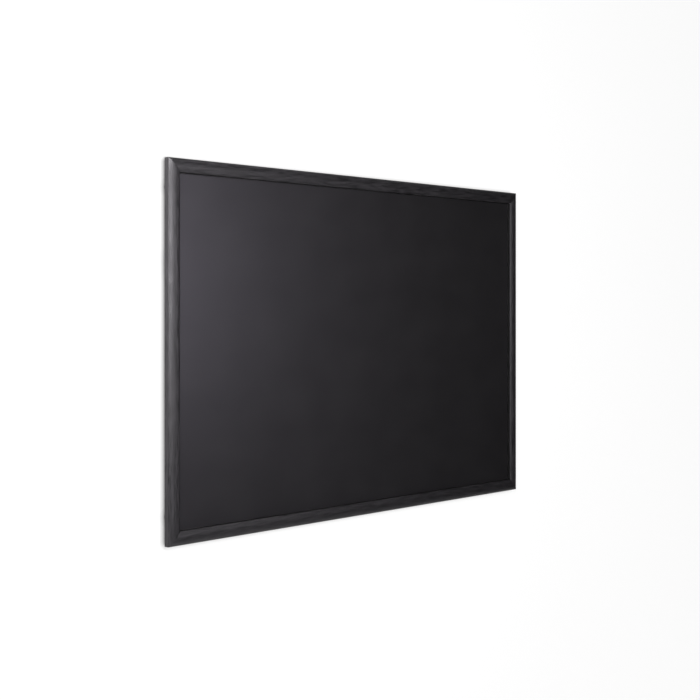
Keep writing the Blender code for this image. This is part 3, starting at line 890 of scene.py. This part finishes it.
wallPaint = makeStageWhite("White wall paint", stageLook["wallMirror"])
floorPaint = makeStageWhite("White floor paint", stageLook["floorMirror"])
wide, gap, drop = stageLook["wallReach"], stageLook["wallGap"] * mm, stageLook["floorDrop"]
openX = boardHalfWidth - stageLook["openingInset"] * mm
openZ = boardHalfHeight - stageLook["openingInset"] * mm
# behind the board the wall is there for the camera only, so that the lamps behind reach the reverse
outerCorners = [(-wide, gap, -drop), (wide, gap, -drop), (wide, gap, wide), (-wide, gap, wide)]
innerCorners = [(-openX, gap, -openZ), (openX, gap, -openZ), (openX, gap, openZ), (-openX, gap, openZ)]
wall = addStageMesh("stageWall", outerCorners + innerCorners,
                    [(0, 1, 5, 4), (1, 2, 6, 5), (2, 3, 7, 6), (3, 0, 4, 7)], wallPaint)
wallBehind = addStageMesh("stageWallBehind", innerCorners, [(0, 1, 2, 3)],
                          makeStageWhite("White wall behind the board", 0.0, cameraOnly=True))
wall.visible_shadow = wallBehind.visible_shadow = False
near = stageLook["floorReach"]
floorCorners = [(-near, -near, -drop), (near, -near, -drop), (near, near, -drop), (-near, near, -drop)]
addStageMesh("stageFloor", floorCorners, [(0, 1, 2, 3)], floorPaint)
print("stage built")


# light

lamps = [
    # direction from the board: azimuth from the front, towards the right, and elevation; sizes in metres, watts
    {"name": "softboxLeft", "azimuth": -45, "elevation": 20, "distance": 1.15, "size": 0.4, "power": 9.1},
    {"name": "softboxLowLeft", "azimuth": -45, "elevation": 8, "distance": 1.15, "size": 0.4, "power": 5.9},
    {"name": "softboxFarLeft", "azimuth": -60, "elevation": 20, "distance": 1.15, "size": 0.4, "power": 5.7},
    {"name": "frontSheen", "azimuth": 8, "elevation": 12, "distance": 1.2, "size": 0.4, "power": 2.8},
    {"name": "frontLowSheen", "azimuth": 8, "elevation": 0, "distance": 1.2, "size": 0.4, "power": 1.8},
    {"name": "behindHigh", "azimuth": 205, "elevation": 30, "distance": 2.2, "size": 1.2, "power": 38.0},
    {"name": "behindSide", "azimuth": 150, "elevation": 5, "distance": 2.2, "size": 1.2, "power": 16.0},
]


def addLamp(lamp):
    data = bpy.data.lights.new(lamp["name"], "AREA")
    data.shape = "SQUARE"
    data.size = lamp["size"]
    data.energy = lamp["power"]
    made = bpy.data.objects.new(lamp["name"], data)
    made.visible_camera = False
    a, e = math.radians(lamp["azimuth"]), math.radians(lamp["elevation"])
    direction = Vector((math.sin(a) * math.cos(e), -math.cos(a) * math.cos(e), math.sin(e)))
    made.location = direction * lamp["distance"]
    made.rotation_euler = direction.to_track_quat("Z", "Y").to_euler()
    bpy.context.scene.collection.objects.link(made)


for lamp in lamps:
    addLamp(lamp)

worldLook = {"ambient": 0.02}


def makeWorld():
    # dim for the light itself; the camera sees white, and so do metal and glass on the side behind the wall
    world = bpy.data.worlds.new("studio")
    bpy.context.scene.world = world
    world.use_nodes = True
    tree = world.node_tree
    tree.nodes.clear()
    path = addNode(tree, "LightPath")
    around = addNode(tree, "SeparateXYZ", {"Vector": addNode(tree, "TexCoord")})
    behind = addNode(tree, "Math", {0: around.outputs["Y"], 1: 0.0}, operation="GREATER_THAN")
    mirrored = addNode(tree, "Math", {0: path.outputs["Is Glossy Ray"], 1: path.outputs["Is Transmission Ray"]},
                       operation="MAXIMUM")
    mirroredBehind = addNode(tree, "Math", {0: mirrored, 1: behind}, operation="MULTIPLY")
    seen = addNode(tree, "Math", {0: path.outputs["Is Camera Ray"], 1: mirroredBehind}, operation="MAXIMUM")
    dim = addNode(tree, "Background", {"Color": (1, 1, 1, 1), "Strength": worldLook["ambient"]})
    white = addNode(tree, "Background", {"Color": (1, 1, 1, 1), "Strength": 1.0})
    both = addNode(tree, "MixShader", {0: seen, 1: dim, 2: white})
    addNode(tree, "OutputWorld", {"Surface": both})


makeWorld()


# camera at the photograph's angle, level, with the horizon above the middle of the picture

photoView = {"place": (-1.7531, -1.6179, 0.0691), "heading": 46.849, "lens": 68.581, "shiftY": -0.06113}
cameraData = bpy.data.cameras.new("photoCamera")
cameraData.lens = photoView["lens"]
cameraData.sensor_width = 36.0
cameraData.shift_y = photoView["shiftY"]
cameraData.clip_start = 0.01
camera = bpy.data.objects.new("photoCamera", cameraData)
camera.location = photoView["place"]
camera.rotation_euler = (quarter, 0, -math.radians(photoView["heading"]))
bpy.context.scene.collection.objects.link(camera)
bpy.context.scene.camera = camera
bpy.context.scene.view_settings.view_transform = "Standard"
print("light and camera set")
